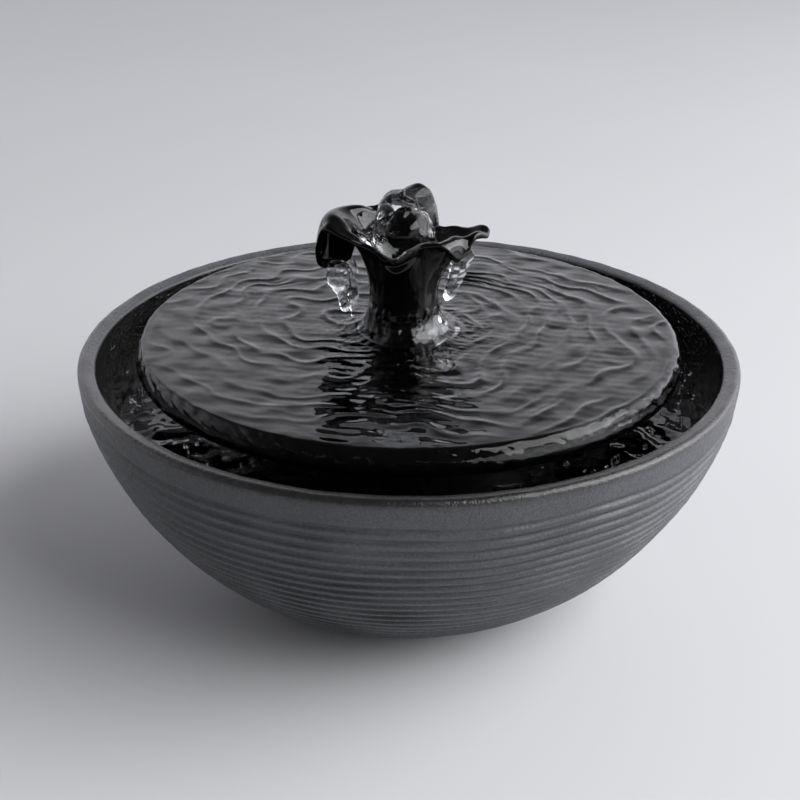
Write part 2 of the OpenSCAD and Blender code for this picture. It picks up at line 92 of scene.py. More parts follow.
# ---------------------------------------------------------------- materials
class Nodes:
    """A node tree with short calls that add nodes to it."""

    def __init__(self, tree):
        self.tree = tree

    def node(self, kind, settings=None, **sockets):
        made = self.tree.nodes.new(kind)
        for key, value in (settings or {}).items():
            setattr(made, key, value)
        for socket, value in sockets.items():
            self.put(value, made.inputs[socket.replace("_", " ")])
        return made

    def put(self, value, socket):
        if isinstance(value, bpy.types.NodeSocket):
            self.tree.links.new(value, socket)
        else:
            socket.default_value = value

    def ramp(self, value, *stops):
        """Grey or colour ramp through (position, colour) stops."""
        made = self.node("ShaderNodeValToRGB", Fac=value)
        elements = made.color_ramp.elements
        while len(elements) < len(stops):
            elements.new(0.5)
        for element, (position, colour) in zip(elements, stops):
            element.position = position
            if not isinstance(colour, tuple):
                colour = (colour, colour, colour)
            element.color = (*colour, 1)
        return made.outputs["Color"]

    def math(self, operation, *values):
        made = self.node("ShaderNodeMath", {"operation": operation})
        for value, socket in zip(values, made.inputs):
            self.put(value, socket)
        return made.outputs[0]

    def mix(self, factor, a, b):
        return self.blend("MIX", factor, a, b)

    def blend(self, kind, factor, a, b):
        made = self.node("ShaderNodeMix", {"data_type": "RGBA", "blend_type": kind})
        factor_in, a_in, b_in = (made.inputs[i] for i in (0, 6, 7))
        self.put(factor, factor_in)
        self.put(a if not isinstance(a, tuple) else (*a, 1), a_in)
        self.put(b if not isinstance(b, tuple) else (*b, 1), b_in)
        return made.outputs[2]


class Shader(Nodes):
    """A material with its Principled shader, and textures in the object's metres."""

    def __init__(self, name, **sockets):
        self.material = bpy.data.materials.new(name)
        self.material.use_nodes = True
        super().__init__(self.material.node_tree)
        self.bsdf = self.tree.nodes["Principled BSDF"]
        self.coords = None
        for socket, value in sockets.items():
            self.bsdf.inputs[socket.replace("_", " ")].default_value = value

    def place(self):
        if self.coords is None:
            self.coords = self.node("ShaderNodeTexCoord").outputs["Object"]
        return self.coords

    def noise(self, scale, detail=2.0, roughness=0.5):
        made = self.node("ShaderNodeTexNoise", Vector=self.place(), Scale=scale,
                         Detail=detail, Roughness=roughness)
        return made.outputs["Fac"]

    def cells(self, scale):
        made = self.node("ShaderNodeTexVoronoi", Vector=self.place(), Scale=scale)
        return made.outputs["Distance"]

    def height(self):
        """Distance above the table."""
        return self.node("ShaderNodeSeparateXYZ", Vector=self.place()).outputs["Z"]

    def depth(self):
        """Distance behind the bowl's centre."""
        return self.node("ShaderNodeSeparateXYZ", Vector=self.place()).outputs["Y"]

    def colour(self, value):
        self.put(value, self.bsdf.inputs["Base Color"])

    def roughness(self, value):
        self.put(value, self.bsdf.inputs["Roughness"])

    def bump(self, value, distance):
        """Adds a bump, on top of the bumps added before."""
        normal = self.bsdf.inputs["Normal"]
        made = self.node("ShaderNodeBump", Height=value, Distance=distance, Strength=1.0)
        if normal.links:
            self.put(normal.links[0].from_socket, made.inputs["Normal"])
        self.put(made.outputs["Normal"], normal)


def wear(name, light, dark, rough, grain, bump, metallic):
    """Plain material with slightly uneven colour and roughness, and a bump in mm."""
    s = Shader(name, Metallic=metallic)
    uneven = s.noise(grain * 0.15, 3)
    s.colour(s.ramp(uneven, (0.3, dark), (0.7, light)))
    s.roughness(s.ramp(s.noise(grain * 0.5, 3), (0.3, rough - 0.06), (0.7, rough + 0.08)))
    s.bump(s.noise(grain, 3, 0.6), bump * MM)
    return s


def stoneware_material():
    """Satin charcoal stoneware with fine sand in it, wet along the rim."""
    s = Shader("stoneware", Specular_IOR_Level=0.5)
    sand = s.noise(1300, 2, 0.7)
    patches = s.noise(26, 4, 0.6)
    base = s.ramp(patches, (0.35, (0.05, 0.052, 0.057)), (0.65, (0.068, 0.0705, 0.077)))
    specks = s.ramp(sand, (0.34, 0.72), (0.5, 1.0), (0.68, 1.4))
    dry = s.blend("MULTIPLY", 1.0, base, specks)
    # Water wets the lip in blots, down to an uneven line, which is lower in front
    back = s.math("ADD", s.depth(), 0.5)
    reach = s.ramp(back, (0.4, 2.8 * MM), (0.5, 0.5 * MM))
    level = s.math("ADD", s.height(), reach)
    level = s.math("MULTIPLY_ADD", s.noise(160, 4, 0.7), 2 * MM, level)
    edge = s.ramp(level, (RIM_Z + 0.6 * MM, 0.0), (RIM_Z + 1.4 * MM, 1.0))
    front = s.ramp(back, (0.41, 0.2), (0.56, 0.0))
    blots = s.ramp(s.math("ADD", s.noise(90, 5, 0.7), front), (0.44, 0.0), (0.54, 1.0))
    wet = s.math("MULTIPLY", edge, blots)
    s.colour(s.mix(wet, dry, (0.016, 0.015, 0.015)))
    rough = s.ramp(s.noise(700, 2), (0.35, 0.36), (0.65, 0.5))
    lip = s.ramp(s.height(), (RIM_Z - 4 * MM, 0.0), (RIM_Z - 2 * MM, 0.9))
    damp = s.math("MULTIPLY", lip, s.ramp(s.noise(45, 4), (0.42, 0.0), (0.56, 1.0)))
    rough = s.mix(damp, rough, (0.18, 0.18, 0.18))
    s.roughness(s.mix(wet, rough, (0.14, 0.14, 0.14)))
    s.bump(s.noise(650, 3, 0.65), 0.2 * MM)
    s.bump(sand, 0.1 * MM)
    return s.material


def wet_glaze_material(name, grain, shine):
    """Black glaze, slightly uneven, with one specular level given by the caller, set low for the
    plate under its water film.
    """
    s = Shader(name, Specular_IOR_Level=shine)
    s.colour(s.ramp(s.noise(60, 3), (0.35, 0.0015), (0.7, 0.003)))
    s.roughness(s.ramp(s.noise(120, 3), (0.35, 0.02), (0.7, 0.07)))
    s.bump(s.noise(grain, 2, 0.5), 0.08 * MM)
    return s.material


def droplet_glaze_material():
    """Black glazed wall inside the bowl, spattered with droplets."""
    s = Shader("inner_glaze", Specular_IOR_Level=0.5)
    s.colour(s.ramp(s.noise(90, 3), (0.35, 0.003), (0.7, 0.009)))
    s.roughness(s.ramp(s.noise(60, 2), (0.4, 0.08), (0.6, 0.22)))
    drops = s.ramp(s.cells(420), (0.0, 1.0), (0.32, 0.75), (0.42, 0.0))
    where = s.ramp(s.noise(70, 2), (0.42, 0.0), (0.5, 1.0))
    s.bump(s.math("MULTIPLY", drops, where), 1.4 * MM)
    s.bump(s.noise(900, 2), 0.25 * MM)
    return s.material


def water_material():
    s = Shader("water", Transmission_Weight=1.0, IOR=1.333, Roughness=0.0)
    tint = (0.97, 0.985, 1.0)
    s.colour(s.ramp(s.noise(40, 2), (0.3, tuple(c * 0.97 for c in tint)), (0.7, tint)))
    return s.material


# ---------------------------------------------------------------- meshes
def ease(t):
    """Smooth step from 0 to 1."""
    t = np.clip(t, 0, 1)
    return t * t * (3 - 2 * t)


class Swell:
    """Smooth noise over points in metres: a seeded sum of sine waves, about -1 to 1."""

    def __init__(self, seed, wavelength, count=24, axes=3):
        rng = np.random.default_rng(seed)
        directions = rng.normal(size=(count, axes))
        directions /= np.linalg.norm(directions, axis=1)[:, None]
        self.vectors = directions * (2 * np.pi / wavelength) * rng.uniform(0.6, 1.5, (count, 1))
        self.phases = rng.uniform(0, 2 * np.pi, count)
        self.gain = math.sqrt(2.0 / count)

    def __call__(self, points):
        return self.gain * np.sin(points @ self.vectors.T + self.phases).sum(-1) / 1.6


def new_piece(name, verts, faces, materials, body):
    data = bpy.data.meshes.new(name)
    data.from_pydata(np.asarray(verts).reshape(-1, 3).tolist(), [], faces)
    data.validate()
    face_outward(data)
    for m in materials:
        data.materials.append(m)
    data.polygons.foreach_set("use_smooth", [True] * len(data.polygons))
    piece = bpy.data.objects.new(name, data)
    bpy.context.scene.collection.objects.link(piece)
    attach(piece, body)
    return piece


def face_outward(data):
    bm = bmesh.new()
    bm.from_mesh(data)
    bmesh.ops.recalc_face_normals(bm, faces=bm.faces)
    bm.to_mesh(data)
    bm.free()


def wrap_faces(rows, columns, close_rows=False):
    """Faces of a grid of points whose columns close into rings."""
    last = rows if close_rows else rows - 1
    faces = []
    for i in range(last):
        low, high = i * columns, ((i + 1) % rows) * columns
        for j in range(columns):
            k = (j + 1) % columns
            faces.append((low + j, low + k, high + k, high + j))
    return faces


def capped_faces(rows, columns):
    """Faces of a ring grid closed at both ends by the two points after it."""
    faces = wrap_faces(rows, columns)
    first, last, top = rows * columns, rows * columns + 1, (rows - 1) * columns
    for j in range(columns):
        k = (j + 1) % columns
        faces.append((first, k, j))
        faces.append((top + j, top + k, last))
    return faces


def spin(outline, segments):
    """Points of an outline of (radius, height) turned about the vertical axis."""
    outline = np.asarray(outline)
    angle = np.arange(segments) * 2 * np.pi / segments
    r, z = outline[:, 0, None], outline[:, 1, None]
    return np.stack([r * np.cos(angle), r * np.sin(angle), z + 0 * angle], -1)


def arc(cx, cz, rx, rz, start, end, steps):
    a = np.radians(np.linspace(start, end, steps))
    return np.stack([cx + rx * np.cos(a), cz + rz * np.sin(a)], -1)


def resampled(outline, step):
    """The outline's points again, spaced about step apart."""
    outline = np.asarray(outline, float)
    gaps = np.hypot(*np.diff(outline, axis=0).T)
    along = np.concatenate([[0], np.cumsum(gaps)])
    at = np.linspace(0, along[-1], max(2, int(round(along[-1] / step))))
    return np.stack([np.interp(at, along, outline[:, k]) for k in (0, 1)], -1)


# ---------------------------------------------------------------- bowl
BOWL_POWER = 1.24
INNER_POWER = 1.32
LIP_R = 2.4 * MM
INNER_LIP_R = 1.2 * MM
FOOT_R = 48 * MM
FLOOR_R = 60 * MM
RIDGE_PITCH = 4.9 * MM
RIDGE_DEPTH = 0.66 * MM
LIP_FALL = 0.9 * MM
FOOT_RING = 8 * MM
FOOT_HOLLOW = 3 * MM
OUTSIDE_STEP = 0.55 * MM
INSIDE_STEP = 2.2 * MM


def bowl_curve(r0, z0, r1, z1, power):
    """Wall from (r1, z1) at the top down to (r0, z0), rounder for a smaller power."""
    a = np.linspace(0, np.pi / 2, 200)
    c, s = np.clip(np.cos(a), 0, 1), np.sin(a)
    return np.stack([r0 + (r1 - r0) * c ** power, z1 - (z1 - z0) * s ** power], -1)


def throwing_ridges(points, along):
    """How far the outer wall stands out, at a distance along it down from the lip."""
    angle = np.arctan2(points[..., 1], points[..., 0])
    slow = Swell(3, 60 * MM)(points)
    phase = along / RIDGE_PITCH + 0.16 * slow + 0.1 * np.sin(2 * angle + along * 60)
    wave = np.sin(2 * np.pi * phase) + 0.25 * np.sin(4 * np.pi * phase + 0.8)
    strength = 0.95 + 0.25 * Swell(5, 35 * MM)(points)
    # Smooth for a few millimetres under the lip, and again towards the foot
    start = ease((along - 4 * MM) / (7 * MM))
    end = 1 - ease((along - 108 * MM) / (14 * MM))
    return RIDGE_DEPTH * wave * strength * start * end


def inner_curve(top):
    """Inner wall from the floor up to a height."""
    return bowl_curve(FLOOR_R, FLOOR_Z, RIM_R - WALL, top, INNER_POWER)[::-1]


def make_bowl():
    inner_r = RIM_R - WALL
    inner_top = RIM_Z - LIP_FALL - INNER_LIP_R
    lip = np.concatenate([
        arc(inner_r + INNER_LIP_R, inner_top, INNER_LIP_R, INNER_LIP_R, 172, 100, 6),
        arc(RIM_R - LIP_R, RIM_Z - LIP_R, LIP_R, LIP_R, 90, 8, 9)])
    outer = bowl_curve(FOOT_R, FOOT_Z, RIM_R, RIM_Z - LIP_R, BOWL_POWER)
    hollow_z = FOOT_Z + FOOT_HOLLOW
    foot = [(FOOT_R - FOOT_RING, FOOT_Z), (FOOT_R - FOOT_RING - 1 * MM, hollow_z)]
    inner = np.concatenate([[(0.5 * MM, FLOOR_Z)], inner_curve(inner_top)])
    inside = resampled(inner, INSIDE_STEP)
    outside = resampled(outer, OUTSIDE_STEP)
    outline = np.concatenate([inside, lip, outside[1:], foot])
    segments = 384
    points = spin(outline, segments)
    first = len(inside) + len(lip)
    wall = slice(first, first + len(outside) - 1)
    out = np.zeros_like(points)
    out[..., :2] = points[..., :2] / np.linalg.norm(points[..., :2], axis=-1)[..., None]
    along = np.arange(len(outside) - 1)[:, None] * OUTSIDE_STEP
    points[wall] += throwing_ridges(points[wall], along)[..., None] * out[wall]
    top = slice(len(inside), first)
    uneven = Swell(11, 16 * MM)(points[top])
    points[top, :, 2] += 0.12 * MM * uneven
    verts = np.concatenate([points.reshape(-1, 3), [(0, 0, FLOOR_Z), (0, 0, hollow_z)]])
    faces = capped_faces(len(outline), segments)
    piece = new_piece("bowl_ware", verts, faces,
                      [stoneware_material(), droplet_glaze_material()], "root")
    # The inner wall and the floor's centre are glazed: material 1
    glazed = (len(inside) - 1) * segments
    index = np.zeros(len(piece.data.polygons), int)
    index[:glazed] = 1
    caps = len(faces) - 2 * segments
    index[caps::2] = 1
    piece.data.polygons.foreach_set("material_index", index)
    cut_socket_seat(piece)
    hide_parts("bowl")


def cut_socket_seat(piece):
    """Hole and flat seats in the back wall for the supply socket."""
    low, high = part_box("inlet_socket")
    _, gasket_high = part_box("inlet_gasket")
    z = (low.z + high.z) / 2
    flange_y = high.y - 2 * MM
    inside, outside = gasket_high.y - 12 * MM, RIM_R + 4 * MM
    # Hole for the barrel, outer seat for the flange, inner seat for gasket and nut
    cuts = [(inside, outside, 5.8 * MM), (flange_y, outside, 8.2 * MM),
            (inside, gasket_high.y, 9.2 * MM)]
    for start, end, radius in cuts:
        bm = bmesh.new()
        place = Matrix.Translation((0, (start + end) / 2, z)) @ Matrix.Rotation(
            math.pi / 2, 4, "X")
        bmesh.ops.create_cone(bm, cap_ends=True, segments=64, radius1=radius,
                              radius2=radius, depth=end - start, matrix=place)
        data = bpy.data.meshes.new("cutter")
        bm.to_mesh(data)
        bm.free()
        cutter = bpy.data.objects.new("cutter", data)
        bpy.context.scene.collection.objects.link(cutter)
        apply_modifier(piece, "BOOLEAN", operation="DIFFERENCE", object=cutter,
                       solver="EXACT")
        bpy.data.objects.remove(cutter)


def apply_modifier(piece, kind, **settings):
    modifier = piece.modifiers.new("shape", kind)
    for key, value in settings.items():
        setattr(modifier, key, value)
    evaluated = piece.evaluated_get(bpy.context.evaluated_depsgraph_get())
    shaped = bpy.data.meshes.new_from_object(evaluated)
    piece.modifiers.clear()
    old = piece.data
    piece.data = shaped
    bpy.data.meshes.remove(old)


# ---------------------------------------------------------------- plate
PLATE_T = PLATE_HIGH.z - PLATE_LOW.z
PLATE_EDGE = 9 * MM
LOW_EDGE = 3 * MM
SEAT_R, SEAT_DEPTH = 19.6 * MM, 1.5 * MM
HOLE_R = 9 * MM


def make_plate():
    top_edge = PLATE_T - LOW_EDGE
    chamfer = 0.4 * MM
    groove_in, groove_out = STAND_HIGH.x - 7.5 * MM, STAND_HIGH.x + 2.5 * MM
    groove_z = PLATE_LOW.z + 2 * MM
    edge = np.concatenate([
        arc(PLATE_R - LOW_EDGE, PLATE_LOW.z + LOW_EDGE, LOW_EDGE, LOW_EDGE, -85, 0, 10),
        arc(PLATE_R - PLATE_EDGE, PLATE_Z - top_edge, PLATE_EDGE, top_edge, 4, 90, 20)])
    low = PLATE_LOW.z
    outline = np.concatenate([
        [(HOLE_R, low), (groove_in, low), (groove_in, groove_z), (groove_out, groove_z),
         (groove_out, low), (PLATE_R - 6 * MM, low)], edge,
        [(60 * MM, PLATE_Z), (SEAT_R + chamfer, PLATE_Z), (SEAT_R, PLATE_Z - 0.3 * MM),
         (SEAT_R, PLATE_Z - SEAT_DEPTH), (HOLE_R, PLATE_Z - SEAT_DEPTH)]])
    segments = 256
    points = spin(outline, segments)
    piece = new_piece("plate_ware", points, wrap_faces(len(outline), segments, True),
                      [wet_glaze_material("plate_glaze", 300, 0.12)], "plate")
    sharpen(piece, 40)
    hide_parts("plate")


def sharpen(piece, degrees):
    """Smooth shading that keeps edges steeper than this angle."""
    bm = bmesh.new()
    bm.from_mesh(piece.data)
    limit = math.radians(degrees)
    for edge in bm.edges:
        edge.smooth = len(edge.link_faces) == 2 and edge.calc_face_angle(0) < limit
    for face in bm.faces:
        face.smooth = True
    bm.to_mesh(piece.data)
    bm.free()


# ---------------------------------------------------------------- spout
SPOUT_Z = PLATE_Z - SEAT_DEPTH + 0.8 * MM
TRUNK_R = 13.6 * MM
BASE_R = 19 * MM
LEAN = -2 * MM
NECK_H = 18 * MM
FLARE_H = 9 * MM
THROAT_R = 4 * MM
SOCKET_R = 6.2 * MM
STUB_R = 8.6 * MM
PETAL_T = 2.2 * MM
ROOT_T = 6.2 * MM
# Each petal row: angle, then radius and height of three points that its underside
# passes through, the last of which is its edge
PETALS = np.array([
    [0, 18, 29, 25.5, 37.5, 31.5, 40], [8, 18, 29, 26, 37, 32.5, 40.5],
    [18, 17, 29.5, 22, 36.5, 27.5, 39.5], [34, 15.5, 30, 17.5, 34.5, 20, 38],
    [62, 15, 31, 16, 36, 17.5, 40], [92, 15, 32, 15.5, 39, 16.5, 43],
    [122, 16, 34, 17.5, 43, 19, 46.5], [140, 17, 35, 20.5, 46, 23, 43],
    [150, 17.5, 35, 22.5, 46.5, 23.5, 29], [159, 18, 35, 25.5, 46.5, 27.5, 25.5],
    [168, 18, 35, 27.5, 46.5, 31, 25], [177, 18, 35, 28, 46.5, 32.5, 30.5],
    [185, 17.5, 34.5, 27, 46, 31.5, 40], [194, 17, 33.5, 24.5, 43.5, 29, 43.5],
    [205, 16.5, 32, 20, 40, 23.5, 41.5], [216, 15.5, 31, 17, 36.5, 18.5, 39],
    [232, 14.5, 30, 15, 34, 15.8, 36.5], [256, 14, 28, 14.3, 31.5, 15.3, 34.5],
    [276, 14.2, 29, 14.8, 33.5, 16, 37.5], [297, 15, 31, 16.2, 37.5, 17.3, 41.5],
    [316, 15.5, 31, 18.5, 39.5, 20, 39.5], [330, 16, 30, 20, 40, 21.8, 35.2],
    [341, 16.5, 30, 21.5, 40.5, 24.5, 39], [351, 17.5, 29.5, 24.5, 39, 29, 41]])


def cubic(q0, m0, q1, m1, t):
    """Cubic from q0 to q1 with slopes m0 and m1."""
    return ((1 + 2 * t) * (1 - t) ** 2 * q0 + t * (1 - t) ** 2 * m0
            + t * t * (3 - 2 * t) * q1 - t * t * (1 - t) * m1)


def petal_at(angle):
    """Petal row's six values at any angle in degrees, in metres."""
    angle = angle % 360
    n = len(PETALS)
    i = int(np.searchsorted(PETALS[:, 0], angle, "right")) - 1
    rows = [PETALS[(i + k) % n, 1:] for k in (-1, 0, 1, 2)]
    turn = [PETALS[(i + k) % n, 0] + 360 * ((i + k) // n) for k in (-1, 0, 1, 2)]
    step = turn[2] - turn[1]
    m0 = (rows[2] - rows[0]) * step / (turn[2] - turn[0])
    m1 = (rows[3] - rows[1]) * step / (turn[3] - turn[1])
    return MM * cubic(rows[1], m0, rows[2], m1, (angle - turn[1]) / step)


def petal_curves(angle, steps):
    """Underside and upper side of the petal at one angle, from root to edge."""
    q = np.array([(TRUNK_R, NECK_H), *petal_at(angle).reshape(3, 2)])
    gap = np.sqrt(np.hypot(*np.diff(q, axis=0).T))
    knots = np.concatenate([[0], np.cumsum(gap)])
    chord = np.diff(q, axis=0) / gap[:, None]
    inner = [(chord[k] * gap[k - 1] + chord[k - 1] * gap[k]) / (gap[k - 1] + gap[k])
             for k in (1, 2)]
    slopes = [np.array([0, gap[0]]), *inner, 2 * chord[2] - inner[1]]
    at = np.linspace(0, knots[-1], steps)
    k = np.clip(np.searchsorted(knots, at, "right") - 1, 0, 2)
    m, g = np.array(slopes), gap[k, None]
    under = cubic(q[k], m[k] * g, q[k + 1], m[k + 1] * g, (at[:, None] - knots[k, None]) / g)
    slope = np.gradient(under, axis=0)
    slope /= np.linalg.norm(slope, axis=1)[:, None]
    across = np.stack([-slope[:, 1], slope[:, 0]], -1)
    t = np.linspace(0, 1, steps)[:, None]
    roll = lip_roll(angle)
    over = under + (PETAL_T + roll + (ROOT_T - PETAL_T) * (1 - t) ** 2) * across
    under -= 0.9 * roll * np.sin(np.pi * t ** 1.5) ** 2 * across
    return under, over


def lip_roll(angle):
    """Extra thickness of the lip, which rolls over in front between two petals."""
    return 1.9 * MM * math.exp(-((angle % 360 - 266) / 26) ** 2)


def leaned(h):
    """Sideways shift of the trunk at height h."""
    return LEAN * (1 - (1 - np.minimum(h, FLARE_H) / FLARE_H) ** 2)


def spout_rows(steps=48, columns=300):
    """Angles of the petals' columns, and rings of (radius, height) under and over them."""
    angles = np.arange(columns) * 360 / columns
    under, over = zip(*[petal_curves(a, steps) for a in angles])
    return np.radians(angles), np.stack(under, 1), np.stack(over, 1)


def run_down(points, size, pitch):
    """The same points with upright runs of water on them, as tall narrow waves."""
    runs = Swell(71, pitch)(points * np.array([1, 1, 0.16]))
    out = points[..., :2] / np.linalg.norm(points[..., :2], axis=-1)[..., None]
    moved = points.copy()
    moved[..., :2] += size * runs[..., None] * out
    return moved


def make_spout():
    angles, under, over = spout_rows()
    columns = len(angles)

    def ring(r, h):
        return np.broadcast_to(np.array([r, h]), (columns, 2)).copy()

    heights = np.linspace(0, 1, 14) ** 1.3 * FLARE_H
    flare = [ring(TRUNK_R + (BASE_R - TRUNK_R) * (1 - h / FLARE_H) ** 2.4, h) for h in heights]
    neck = [ring(TRUNK_R, h) for h in np.linspace(FLARE_H, NECK_H, 6)[1:-1]]
    middle = (under[-1] + over[-1]) / 2
    reach = under[-1] - under[-2]
    reach /= np.linalg.norm(reach, axis=-1)[:, None]
    half = (over[-1] - under[-1]) / 2
    round_edge = [middle + np.sin(a) * half + np.cos(a) * PETAL_T / 2 * reach
                  for a in np.radians([-50, 0, 50])]
    # Throat, socket for the riser, stub through the plate's hole, and the flat foot
    tube_top = TUBE_HIGH.z + 2 * MM - SPOUT_Z
    stub_low = PLATE_LOW.z + 2 * MM - SPOUT_Z
    core = [ring(THROAT_R + 1 * MM, NECK_H + 0.5 * MM), ring(THROAT_R, NECK_H - 1 * MM),
            ring(THROAT_R, tube_top), ring(SOCKET_R, tube_top), ring(SOCKET_R, stub_low),
            ring(STUB_R, stub_low), ring(STUB_R, 0), ring(BASE_R - 1 * MM, 0)]
    rows = np.array([*flare, *neck, *under, *round_edge, *over[::-1], *core])
    r, h = rows[..., 0], rows[..., 1]
    shift = leaned(np.maximum(h, 0))
    # The throat and the stub stay upright, so the lean fades out towards them
    inner = len(rows) - len(core)
    shift[inner:] = 0
    blend_rows = 12
    fade = np.linspace(1, 0.2, blend_rows)[:, None]
    shift[inner - blend_rows:inner] *= fade
    points = np.stack([r * np.cos(angles) + shift, r * np.sin(angles), SPOUT_Z + h], -1)
    # Wavy petal edges, and runs of water down the outside
    outer = len(flare) + len(neck) + len(under)
    edge = np.exp(-((np.arange(len(rows)) - outer - 1) / (0.22 * len(under))) ** 2)
    wavy = Swell(72, 9 * MM)(points * np.array([1, 1, 0.4]))
    points[..., 2] += 0.9 * MM * edge[:, None] * wavy
    points[:outer] = run_down(points[:outer], 0.16 * MM, 5.5 * MM)
    piece = new_piece("spout_flower", points, wrap_faces(len(rows), columns, True),
                      [wet_glaze_material("spout_gloss", 140, 0.4)], "spout")
    sharpen(piece, 50)
    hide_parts("spout")


# ---------------------------------------------------------------- water
FILM_T = 1.1 * MM
FILM_EDGE = 2.8 * MM
FILM_NOSE = 0.9 * MM
FILM_SINK = 0.15 * MM
# Where falling water lands on the film: x, y, pitch and reach of its rings in mm, size
LANDINGS = [(-24, 12, 12, 70, 0.55), (19, 2, 6.2, 30, 0.12)]
# Water climbing the trunk's foot, as (radius, height over the plate) in mm
CLIMB = [(12.6, 15), (13.9, 12), (14.3, 9), (15.1, 6.2), (16.7, 4.1), (19.4, 2.6), (23, 1.7)]


def crest(phase):
    """Wave with narrow crests and broad troughs, about -0.4 to 0.9."""
    return (np.exp(2 * (np.cos(phase) - 1)) - 0.33) * 1.4


def film_height(points):
    """Ripples of the water film over the plate, which spread from where water lands."""
    x, y = points[..., 0], points[..., 1]
    r = np.hypot(x, y)

    def chop(seed, wavelength, squeeze):
        """Small waves of a length in mm, drawn out sideways."""
        return Swell(seed, wavelength * MM, 30, 2)(points * np.array([squeeze, 1]))

    # Rings round the trunk, stronger on the right
    warp = Swell(21, 62 * MM, 14, 2)(points)
    bend = Swell(22, 26 * MM, 16, 2)(points)
    rings = crest(2 * np.pi * (r / (9.5 * MM) + 0.8 * warp + 0.16 * bend))
    gust = np.clip(0.6 + 0.6 * Swell(23, 42 * MM, 16, 2)(points), 0.1, 1.3)
    height = (0.05 + 0.32 * ease((x + 30 * MM) / (60 * MM))) * rings * gust
    for at_x, at_y, pitch, reach, size in LANDINGS:
        away = np.hypot(x - at_x * MM, y - at_y * MM)
        fade = np.exp(-away / (reach * MM))
        height += size * fade * crest(2 * np.pi * (away / (pitch * MM) + 0.3 * bend + 0.5 * warp))
    height += 0.16 * chop(24, 15, 0.75)
    height += 0.05 * chop(26, 6.4, 0.7)
    # Short choppy waves near the trunk, and in front of it, where the rings are weaker
    near = np.exp(-((r - 21 * MM) / (13 * MM)) ** 2)
    front = np.exp(-((y + 50 * MM) / (30 * MM)) ** 2 - (x / (24 * MM)) ** 2)
    height *= 1 - 0.45 * front
    height += 0.16 * front * chop(28, 7, 0.6)
    height += (0.008 + 0.07 * near + 0.035 * front) * chop(25, 3.2, 0.6)
    return MM * height


def make_film(water):
    """Film that covers the plate, climbs the trunk's foot and clings round the edge."""
    top_edge = PLATE_T - LOW_EDGE
    climb = np.array([*CLIMB, (28, FILM_T / MM)]) * MM + np.array([0, PLATE_Z])
    flat = [(PLATE_R - FILM_EDGE, PLATE_Z + FILM_T)]
    top = resampled(np.concatenate([climb, flat]), 0.55 * MM)
    over_edge = arc(PLATE_R - FILM_EDGE, PLATE_Z - top_edge, FILM_EDGE + FILM_NOSE,
                    top_edge + FILM_T, 90, 4, 34)[1:]
    end = arc(PLATE_R - 0.35 * MM, PLATE_Z - top_edge - 0.6 * MM, 1.0 * MM, 1.0 * MM, 0, -150, 6)
    back = arc(PLATE_R - PLATE_EDGE, PLATE_Z - top_edge, PLATE_EDGE - FILM_SINK,
               top_edge - FILM_SINK, 2, 90, 16)
    sunk_z = PLATE_Z - FILM_SINK
    under = [(40 * MM, sunk_z), (BASE_R - 2.6 * MM, sunk_z), (11.6 * MM, PLATE_Z + 13 * MM)]
    outline = np.concatenate([top, over_edge, end, back, under])
    segments = 720
    points = spin(outline, segments)
    shown = len(top) + len(over_edge)
    r = np.linalg.norm(points[:shown, :, :2], axis=-1)
    rise = film_height(points[:shown, :, :2])
    calm_edge = 1 - 0.5 * ease((r - (PLATE_R - 12 * MM)) / (12 * MM))
    calm_foot = ease((r - 14 * MM) / (8 * MM))
    points[:shown, :, 2] += rise * (calm_edge * calm_foot)
    ruffle = MM * (0.24 * Swell(27, 9 * MM, 20)(points[:shown])
                   + 0.12 * Swell(30, 3.6 * MM, 20)(points[:shown]))
    steep = ease((r - (PLATE_R - 5 * MM)) / (5 * MM)) * ruffle / r
    points[:shown, :, :2] *= 1 + steep[..., None]
    skirt = np.exp(-(np.maximum(r - 14 * MM, 0) / (5 * MM)) ** 2)[..., None]
    points[:shown] += skirt * (run_down(points[:shown], 0.38 * MM, 3.8 * MM) - points[:shown])
    points[..., 0] += leaned(np.maximum(points[..., 2] - PLATE_Z, 0))
    new_piece("water_film", points, wrap_faces(len(outline), segments, True), [water], "plate")


def pool_height(points):
    """Small waves of the pool."""
    return MM * (0.4 * Swell(31, 17 * MM, 24, 2)(points) + 0.1 * Swell(32, 6 * MM, 24, 2)(points))


def inner_wall_radius(z):
    curve = inner_curve(RIM_Z - INNER_LIP_R)
    return float(np.interp(z, curve[:, 1], curve[:, 0]))


def make_pool(water):
    """Surface of the water standing in the bowl."""
    rows = 110
    edge = inner_wall_radius(WATER_Z) + 0.3 * MM
    radii = np.linspace(TUBE_HIGH.x - 0.2 * MM, edge, rows)
    depth = 2.5 * MM
    outline = np.concatenate([[(r, WATER_Z) for r in radii],
                              [(edge - 1.5 * MM, WATER_Z - depth), (radii[0], WATER_Z - depth)]])
    segments = 480
    points = spin(outline, segments)
    points[:rows, :, 2] += pool_height(points[:rows, :, :2])
    new_piece("water_pool", points, wrap_faces(len(outline), segments, True), [water], "root")


